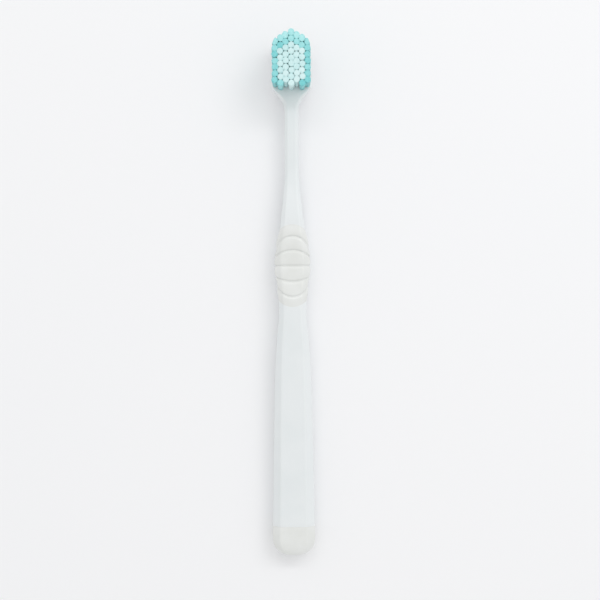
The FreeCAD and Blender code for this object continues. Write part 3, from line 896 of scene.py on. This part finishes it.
@dataclass
class Handle:
    """The hard moulding, with a recess for the thumb grip and a tongue for the end cap."""

    form: HandleForm
    place: GripPlace
    recess: float = 1.1
    recess_edge: float = 0.8
    recess_slope: float = 0.5
    recess_facing: float = -0.5
    tongue_inset: float = 2.7
    tongue_length: float = 5.1
    grip_room: float = 1.0
    flare_room: float = 3.0
    handle_step: float = 1.2
    grip_step: float = 0.2
    neck_step: float = 1.0
    head_step: float = 0.35
    tip_rows: int = 40
    columns: tuple[int, ...] = (12, 4, 8, 4, 10, 7, 8)      # points along each span of a section

    def rows(self) -> Array:
        """Places along the brush, closer together where the shape changes fast.

        Returns:
            The places, from the cap's joint to the tip of the head.
        """
        form, grip = self.form, self.place.half_length + self.grip_room
        flare, corner = form.flare_start - self.flare_room, form.tip - form.tip_round
        turn = np.linspace(0, math.pi / 2, self.tip_rows)
        return np.concatenate([
            np.arange(form.reach[0], -grip, self.handle_step), np.arange(-grip, grip, self.grip_step),
            np.arange(grip, flare, self.neck_step), np.arange(flare, corner, self.head_step),
            corner + form.tip_round * np.sin(turn),
        ])

    def half_outline(self, rows: int) -> tuple[Array, Array]:
        """Spreads points over half an outline, from front to back, evenly along each span.

        Args:
            rows: How many rows of points there are.

        Returns:
            Each point's span, and its share of the way along it.
        """
        span = np.append(np.repeat(np.arange(len(self.columns)), self.columns), len(self.columns) - 1)
        share = np.concatenate([*(np.arange(n) / n for n in self.columns), [1.0]])
        return np.tile(span, (rows, 1)), np.tile(share, (rows, 1))

    def skin(self) -> Array:
        """The skin: the section at every row, moved inwards under the grip by the depth of the recess.

        Returns:
            Rows of closed outlines, from the cap's joint to the tip of the head.
        """
        y = self.rows()
        x, z, nx, nz = self.form.sections(y).walk(*self.half_outline(len(y)))
        depth = self.place.inside(x, np.broadcast_to(y[:, None], x.shape), z)
        sink = self.recess * smooth_step((depth - self.recess_edge) / self.recess_slope)
        under_grip = (np.abs(y) < self.place.half_length)[:, None] & (nz > self.recess_facing)
        sink = np.where(under_grip, sink, 0)
        return mirrored(x - nx * sink, y, z - nz * sink)

    def build(self, material: Material) -> None:
        """Makes the handle and puts it on. The tongue is the outline of its tail, drawn in on all sides.

        Args:
            material: The moulded plastic.
        """
        rings = self.skin()
        first, last = rings[0], rings[-1]
        centre = np.array([0, first[0, 1], (first[:, 2].max() + first[:, 2].min()) / 2])
        narrow = np.array([first[:, 0].max(), 1, first[:, 2].max() - centre[2]])
        narrow = (narrow - [self.tongue_inset, 0, self.tongue_inset]) / narrow
        tongue = (first - centre) * narrow + centre
        far = tongue - [0, self.tongue_length, 0]
        ends = np.array([far.mean(0), last.mean(0)])
        piece = add_piece("moulded_handle", *tube(np.concatenate([[far, tongue], rings]), ends), CREASE)
        put_on(piece, material, "handle_plastic", "handle_core")


@dataclass
class ThumbGrip:
    """The soft grip over the handle: a crowned saddle with five grooves and rounded ribs between them."""

    form: HandleForm
    place: GripPlace
    proud: float = 0.42
    lip: float = 0.01
    sunk: float = 0.04
    edge_round: float = 0.9
    thickness: float = 1.0
    groove_margin: float = 0.8
    groove_fade: float = 1.6
    crown_reach: float = 4.5
    groove_depth: float = 0.42
    groove_wall: float = 0.3
    groove_notch: float = 0.2
    ramp_length: float = 0.9
    rib_swell: float = 0.22
    rib_reach: float = 1.3
    rib_fade: float = 3.5
    straight_slope: float = 0.19
    # The bowed grooves: the middle's place along the brush, the radius, and the slope of the ramp.
    bows: tuple[Triple, ...] = (
        (10.6, 5.8, 0.35), (5.6, 9.0, 0.31), (-5.6, 12.0, 0.14), (-11.1, 5.8, 0.24),
    )
    bed_edge: float = 0.9
    bed_slope: float = 0.5
    end_gap: float = 0.02
    rows: int = 380
    columns: int = 101
    fine_columns: int = 700

    def nearest_groove(self, x: Array, y: Array) -> tuple[Array, Array]:
        """Finds the nearest groove seen from the front: four arcs and the straight one across the middle.

        Args:
            x: Places across the brush.
            y: Places along it.

        Returns:
            The distance to the groove, which counts up towards the head and down towards the end cap, and
            the slope of that groove's ramp. The slopes differ so that the ramps lie at one angle to the back.
        """
        nearest, slope = y, np.full_like(y, self.straight_slope)
        for apex, radius, ramp in self.bows:
            way = math.copysign(1, apex)
            along = way * y - (abs(apex) - radius)
            past = np.hypot(np.abs(x) - radius, along) * np.sign(np.abs(x) - radius)
            arc = way * np.where(along > 0, np.hypot(x, along) - radius, past)
            slope = np.where(np.abs(arc) < np.abs(nearest), ramp, slope)
            nearest = np.where(np.abs(arc) < np.abs(nearest), arc, nearest)
        return nearest, slope

    def grooves(self, near: Array, slope: Array) -> Array:
        """The depth of the grooves.

        On the head's side a steep wall falls as a bell curve does. On the other side a narrower bell curve
        meets a straight ramp.

        Args:
            near: The distance to the nearest groove.
            slope: The slope of its ramp.

        Returns:
            How far the skin is sunk.
        """
        rise = slope * self.ramp_length
        ramp = rise * np.clip(1 + near / self.ramp_length, 0, 1)
        notch = (self.groove_depth - rise) * np.exp(-(near / self.groove_notch) ** 2)
        return np.where(near > 0, self.groove_depth * np.exp(-(near / self.groove_wall) ** 2), ramp + notch)

    def surface(self) -> tuple[Array, Array]:
        """The outer skin of the grip and the inner skin that lies in the handle's recess.

        Each row runs across the brush from edge to edge, and what would lie past the round ends is gathered
        on their edge. The skin is the handle's own surface, moved outwards by a rounded edge, a crown and
        ribs, and inwards by the grooves.

        Returns:
            Two grids of points.
        """
        turn = np.linspace(-math.pi / 2, math.pi / 2, self.rows)
        y = (self.place.half_length - self.end_gap) * np.sin(turn)
        section = self.form.sections(y)
        far = section.lengths()[:, :Section.BACK_CORNER].sum(-1)
        fine = np.linspace(0, 1, self.fine_columns)[None, :] * far[:, None]
        x, z, _, _ = section.at_length(fine)
        wrapped = z <= self.place.wrap
        ended = wrapped | (x >= self.place.edge(y)[:, None])
        full, limit = (np.take_along_axis(fine, past.argmax(1)[:, None], 1) for past in (wrapped, ended))
        across = np.linspace(-1, 1, self.columns)
        x, z, nx, nz = section.at_length(np.minimum(np.abs(across)[None, :] * full, limit))
        side = np.where(across < 0, -1.0, 1.0)[None, :]
        ys = np.broadcast_to(y[:, None], x.shape)
        depth = np.maximum(self.place.inside(x, ys, z), 0)
        rim = np.minimum(depth / self.edge_round, 1)
        raised = (self.lip + self.sunk) * np.sqrt(1 - (1 - rim) ** 2) - self.sunk
        crown = (self.proud - self.lip) * smooth_step(depth / self.crown_reach)
        near, slope = self.nearest_groove(x, ys)
        swell = self.rib_swell * smooth_step(depth / self.rib_fade)
        ribs = swell * (1 - np.exp(-(near / self.rib_reach) ** 2))
        fade = smooth_step((depth - self.groove_margin) / self.groove_fade)
        out = raised + crown + ribs - self.grooves(near, slope) * fade
        skin = np.stack([(x + nx * out) * side, ys, z + nz * out], -1)
        inner = 2 * self.sunk
        low = -inner - (self.thickness - inner) * smooth_step((depth - self.bed_edge) / self.bed_slope)
        lining = np.stack([(x + nx * low) * side, ys, z + nz * low], -1)
        return skin, lining

    def build(self, material: Material) -> None:
        """Makes the grip and puts it on. A rim joins the edges of its two skins.

        Args:
            material: The soft material.
        """
        skin, lining = self.surface()
        rows, columns = skin.shape[:2]
        quads = grid_faces(rows, columns, False)
        inner = quads[:, ::-1] + rows * columns
        number = np.arange(rows * columns).reshape(rows, columns)
        ring = np.concatenate([number[0, :], number[1:, -1], number[-1, -2::-1], number[-2:0:-1, 0]])
        after = np.roll(ring, -1)
        rim = np.stack([after, ring, ring + rows * columns, after + rows * columns], -1)
        points = np.concatenate([skin.reshape(-1, 3), lining.reshape(-1, 3)])
        piece = add_piece("soft_thumb_grip", points, np.concatenate([quads, inner, rim]), weld=True)
        put_on(piece, material, "soft_grip", "thumb_grip")


@dataclass
class EndCap:
    """The soft cap moulded over the end of the handle, with a rounded lip and a socket for the tongue."""

    form: HandleForm
    handle: Handle
    length: float = 10.5
    proud: float = 0.15
    lip: float = 1.4
    round_plan: float = 5.8
    round_side: float = 2.6
    corner_limit: float = 1.3
    lip_rows: int = 8
    straight_rows: int = 4
    turns: int = 24
    closing: Sizes = (0.75, 0.45, 0.2)      # rings on the flat end, as shares of its outline
    socket: Sizes = (0.64, 1.0, 0.44)       # the socket's mouth, as shares of the cap's
    socket_room: float = 0.1

    def build(self, material: Material) -> None:
        """Makes the cap and puts it on.

        The outline of the handle's tail is carried round a quarter circle in plan and in side view, and the
        flat that is left at the end closes on its middle.

        Args:
            material: The soft material.
        """
        joint = self.form.reach[0]
        end = joint - self.length
        lip = np.linspace(0, 1, self.lip_rows)
        turn = np.linspace(0, math.pi / 2, self.turns)
        straight = np.linspace(joint - self.lip, end + self.round_plan, self.straight_rows + 2)[1:-1]
        y = np.concatenate([joint - self.lip * lip, straight, end + self.round_plan * (1 - np.sin(turn))])
        risen = np.ones(len(straight) + len(turn))
        swell = self.proud * np.concatenate([smooth_step(lip), risen])
        inset = np.concatenate([np.zeros(len(lip) + len(straight)), 1 - np.cos(turn)])
        tail = self.form.sections(np.full(len(y), joint))
        half = tail.half_width + swell - inset * self.round_plan
        facet, back_round = half * self.form.facet_share, half * self.form.back_share
        corner = np.minimum(self.form.corner * (1 + inset), facet * self.corner_limit)
        section = Section(half, tail.front + swell - inset * self.round_side,
                          tail.back + inset * self.round_side, facet, corner, back_round)
        x, z, _, _ = section.walk(*self.handle.half_outline(len(y)))
        rings = mirrored(x, y, z)
        last, first = rings[-1], rings[0]
        centre = last.mean(0)
        closing = np.stack([centre + (last - centre) * part for part in self.closing])
        middle = first.mean(0)
        socket = middle + (first - middle) * self.socket
        bottom = socket - [0, self.handle.tongue_length + self.socket_room, 0]
        rings = np.concatenate([[bottom, socket], rings, closing])
        points, quads, fans = tube(rings, np.array([bottom.mean(0), centre]))
        piece = add_piece("soft_end_cap", points, quads[:, ::-1], fans[:, ::-1], CREASE)
        put_on(piece, material, "soft_grip", "end_cap")


@dataclass(frozen=True)
class SoftBox:
    """A rectangular soft lamp above the brush."""

    name: str
    place: Triple
    aim: Triple
    size: Span
    power: float

    def hang(self) -> None:
        """Puts the lamp in its place, with its long side level and its face towards its aim."""
        data = bpy.data.lights.new(self.name, "AREA")
        data.energy = self.power
        data.shape = "RECTANGLE"
        data.size, data.size_y = (side * MM for side in self.size)
        lamp = bpy.data.objects.new(self.name, data)
        lamp.location = Vector(self.place) * MM
        lamp.rotation_euler = (Vector(self.place) - Vector(self.aim)).to_track_quat("Z", "Y").to_euler()
        bpy.context.scene.collection.objects.link(lamp)


@dataclass
class Studio:
    """The pale floor, the soft light and the camera straight above the brush."""

    floor_tones: Tones = ((0.0, "#F6F7F9"), (1.0, "#F8F8F9"))
    floor_cloud_mm: float = 180.0
    floor_roughness: float = 0.8
    floor_size: float = 2400.0
    floor_gap: float = 0.05
    camera_height: float = 450.0
    camera_place: Span = (2.63, -12.3)
    camera_roll: float = -0.32
    pixels_per_mm: float = 2.77
    scale_height: float = 5.0
    image_side: int = 600
    sensor: float = 36.0
    sky_colour: str = "#FFFFFF"
    sky: float = 0.8
    lamps: tuple[SoftBox, ...] = (
        SoftBox("key", (250.0, 650.0, 900.0), (250.0, 0.0, 0.0), (1400.0, 160.0), 2.1),
        SoftBox("side", (600.0, 430.0, 850.0), (0.0, 0.0, 0.0), (600.0, 600.0), 1.3),
    )

    def floor(self) -> None:
        """A wide plain floor just under the brush."""
        half = self.floor_size / 2
        corner = np.array([[-1, -1], [1, -1], [1, 1], [-1, 1]]) * half
        points = np.concatenate([corner, np.full((4, 1), -self.floor_gap)], 1)
        floor = add_piece("floor", points, np.array([[0, 1, 2, 3]]))
        material, tree, shader = start_material("painted floor board")
        place = add_node(tree, "ShaderNodeTexCoord").outputs["Object"]
        cloud = add_node(tree, "ShaderNodeTexNoise", {"Scale": per_metre(self.floor_cloud_mm)},
                         {"Vector": place})
        tone = add_node(tree, "ShaderNodeValToRGB", links={"Fac": cloud.outputs["Fac"]},
                        stops=self.floor_tones)
        shader.inputs["Roughness"].default_value = self.floor_roughness
        tree.links.new(tone.outputs["Color"], shader.inputs["Base Color"])
        floor.data.materials.append(material)

    def light(self) -> None:
        """An even pale surround, a long soft lamp beyond the head and a smaller one at the upper right."""
        world = bpy.data.worlds.new("studio")
        bpy.context.scene.world = world
        world.use_nodes = True
        background = world.node_tree.nodes["Background"]
        background.inputs["Color"].default_value = linear(self.sky_colour)
        background.inputs["Strength"].default_value = self.sky
        for lamp in self.lamps:
            lamp.hang()

    def camera(self) -> None:
        """A camera straight above, whose lens gives the photograph's scale at the handle's height."""
        data = bpy.data.cameras.new("camera")
        data.sensor_width = self.sensor
        focal = self.pixels_per_mm * (self.camera_height - self.scale_height)
        data.lens = focal * self.sensor / self.image_side
        camera = bpy.data.objects.new("camera", data)
        camera.location = np.array([*self.camera_place, self.camera_height]) * MM
        camera.rotation_euler = (0, 0, math.radians(self.camera_roll))
        bpy.context.scene.collection.objects.link(camera)
        bpy.context.scene.camera = camera

    def build(self) -> None:
        """Sets the whole stage."""
        self.floor()
        self.light()
        self.camera()
        bpy.context.scene.view_settings.view_transform = "Standard"


def dress_anchors() -> None:
    """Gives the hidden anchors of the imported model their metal."""
    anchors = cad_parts["tuft_anchors"]
    anchors.data.materials.clear()
    anchors.data.materials.append(AnchorWire().build())
    LOG.info("%s: %d faces, kept", anchors.name, len(anchors.data.polygons))


def main() -> None:
    """Builds the brush piece by piece, then the stage."""
    logging.basicConfig(level=logging.INFO, format="%(name)s: %(message)s")
    plastic, soft = MouldedPolypropylene().build(), GripElastomer().build()
    form, place = HandleForm(), GripPlace()
    handle = Handle(form, place)
    handle.build(plastic)
    ThumbGrip(form, place).build(soft)
    EndCap(form, handle).build(soft)
    # painted shade: each filament's first stop, at the foot, is darker and deeper for the shadow between the
    # tufts
    turquoise = DrawnFilament("turquoise polyester filament", ((0.05, "#54CBCE"), (0.7, "#6CD0D3")),
                              "#B8F0F1")
    # the white filament's stops and pale colour carry a cyan cast: painted light reflected from the turquoise
    # tufts
    white = DrawnFilament("white polyester filament", ((0.05, "#A8E4E7"), (0.7, "#C7EDEE")), "#E8FAFA")
    form.bristles.build({BristleColour.TURQUOISE: turquoise.build(), BristleColour.WHITE: white.build()})
    dress_anchors()
    Studio().build()


if __name__ == "__main__":
    main()
